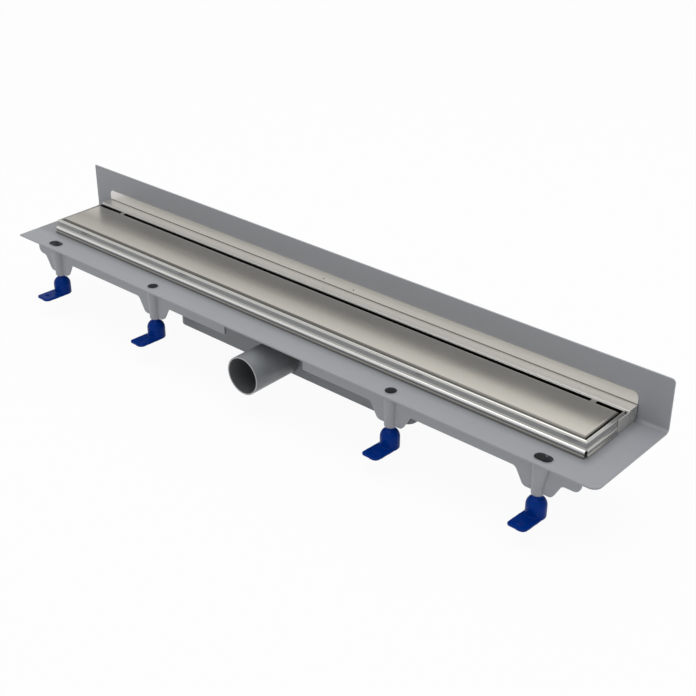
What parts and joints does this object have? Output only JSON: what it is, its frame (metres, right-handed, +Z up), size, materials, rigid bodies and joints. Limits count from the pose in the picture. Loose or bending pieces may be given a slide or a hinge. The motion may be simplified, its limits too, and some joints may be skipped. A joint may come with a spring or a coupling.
{
  "type": "linear shower drain",
  "caption": "Wall-side linear shower drain with a moulded body, steel frame and cover, trap with front outlet, and levelling feet.",
  "frame": {"origin": "on the floor plane at the wall, at the middle of the steel frame", "axes": "+Z up, +X along the wall to the right as seen from the room, +Y into the wall"},
  "size_m": [0.95, 0.168, 0.138],
  "materials": {
    "grey_plastic": "satin",
    "dark_plastic": "satin",
    "insert_plastic": "satin",
    "seal_rubber": "matte",
    "stainless": "brushed",
    "screw_steel": "plain",
    "blue_plastic": "gloss"
  },
  "bodies": {
    "drain": {"drain_body": "grey_plastic", "trap_housing": "dark_plastic", "left_trap_seal": "seal_rubber", "right_trap_seal": "seal_rubber", "left_trap_insert": "insert_plastic", "right_trap_insert": "insert_plastic", "left_hair_strainer": "insert_plastic", "right_hair_strainer": "insert_plastic", "steel_frame": "stainless", "wall_strip": "stainless", "cover_plate": "stainless"},
    "front_screw_1_body": {"front_screw_1": "screw_steel"},
    "front_foot_1_body": {"front_foot_1": "blue_plastic"},
    "front_screw_2_body": {"front_screw_2": "screw_steel"},
    "front_foot_2_body": {"front_foot_2": "blue_plastic"},
    "front_screw_3_body": {"front_screw_3": "screw_steel"},
    "front_foot_3_body": {"front_foot_3": "blue_plastic"},
    "front_screw_4_body": {"front_screw_4": "screw_steel"},
    "front_foot_4_body": {"front_foot_4": "blue_plastic"},
    "rear_screw_1_body": {"rear_screw_1": "screw_steel"},
    "rear_foot_1_body": {"rear_foot_1": "blue_plastic"},
    "rear_screw_2_body": {"rear_screw_2": "screw_steel"},
    "rear_foot_2_body": {"rear_foot_2": "blue_plastic"},
    "rear_screw_3_body": {"rear_screw_3": "screw_steel"},
    "rear_foot_3_body": {"rear_foot_3": "blue_plastic"},
    "rear_screw_4_body": {"rear_screw_4": "screw_steel"},
    "rear_foot_4_body": {"rear_foot_4": "blue_plastic"}
  },
  "joints": [
    {"name": "front_level_1", "type": "slide", "parent": "drain", "child": "front_screw_1_body", "axis": [0, 0, 1], "range_m": [-0.025, 0]},
    {"name": "front_swivel_1", "type": "hinge", "parent": "front_screw_1_body", "child": "front_foot_1_body", "pos_m": [-0.403, -0.1308, 0.0116], "axis": [0, 0, 1], "continuous": true},
    {"name": "front_level_2", "type": "slide", "parent": "drain", "child": "front_screw_2_body", "axis": [0, 0, 1], "range_m": [-0.025, 0]},
    {"name": "front_swivel_2", "type": "hinge", "parent": "front_screw_2_body", "child": "front_foot_2_body", "pos_m": [-0.202, -0.1308, 0.0116], "axis": [0, 0, 1], "continuous": true},
    {"name": "front_level_3", "type": "slide", "parent": "drain", "child": "front_screw_3_body", "axis": [0, 0, 1], "range_m": [-0.025, 0]},
    {"name": "front_swivel_3", "type": "hinge", "parent": "front_screw_3_body", "child": "front_foot_3_body", "pos_m": [0.202, -0.1308, 0.0116], "axis": [0, 0, 1], "continuous": true},
    {"name": "front_level_4", "type": "slide", "parent": "drain", "child": "front_screw_4_body", "axis": [0, 0, 1], "range_m": [-0.025, 0]},
    {"name": "front_swivel_4", "type": "hinge", "parent": "front_screw_4_body", "child": "front_foot_4_body", "pos_m": [0.403, -0.1308, 0.0116], "axis": [0, 0, 1], "continuous": true},
    {"name": "rear_level_1", "type": "slide", "parent": "drain", "child": "rear_screw_1_body", "axis": [0, 0, 1], "range_m": [-0.025, 0]},
    {"name": "rear_swivel_1", "type": "hinge", "parent": "rear_screw_1_body", "child": "rear_foot_1_body", "pos_m": [-0.403, -0.016, 0.0116], "axis": [0, 0, 1], "range_deg": [-90, 90]},
    {"name": "rear_level_2", "type": "slide", "parent": "drain", "child": "rear_screw_2_body", "axis": [0, 0, 1], "range_m": [-0.025, 0]},
    {"name": "rear_swivel_2", "type": "hinge", "parent": "rear_screw_2_body", "child": "rear_foot_2_body", "pos_m": [-0.202, -0.016, 0.0116], "axis": [0, 0, 1], "range_deg": [-90, 90]},
    {"name": "rear_level_3", "type": "slide", "parent": "drain", "child": "rear_screw_3_body", "axis": [0, 0, 1], "range_m": [-0.025, 0]},
    {"name": "rear_swivel_3", "type": "hinge", "parent": "rear_screw_3_body", "child": "rear_foot_3_body", "pos_m": [0.202, -0.016, 0.0116], "axis": [0, 0, 1], "range_deg": [-90, 90]},
    {"name": "rear_level_4", "type": "slide", "parent": "drain", "child": "rear_screw_4_body", "axis": [0, 0, 1], "range_m": [-0.025, 0]},
    {"name": "rear_swivel_4", "type": "hinge", "parent": "rear_screw_4_body", "child": "rear_foot_4_body", "pos_m": [0.403, -0.016, 0.0116], "axis": [0, 0, 1], "range_deg": [-90, 90]}
  ]
}
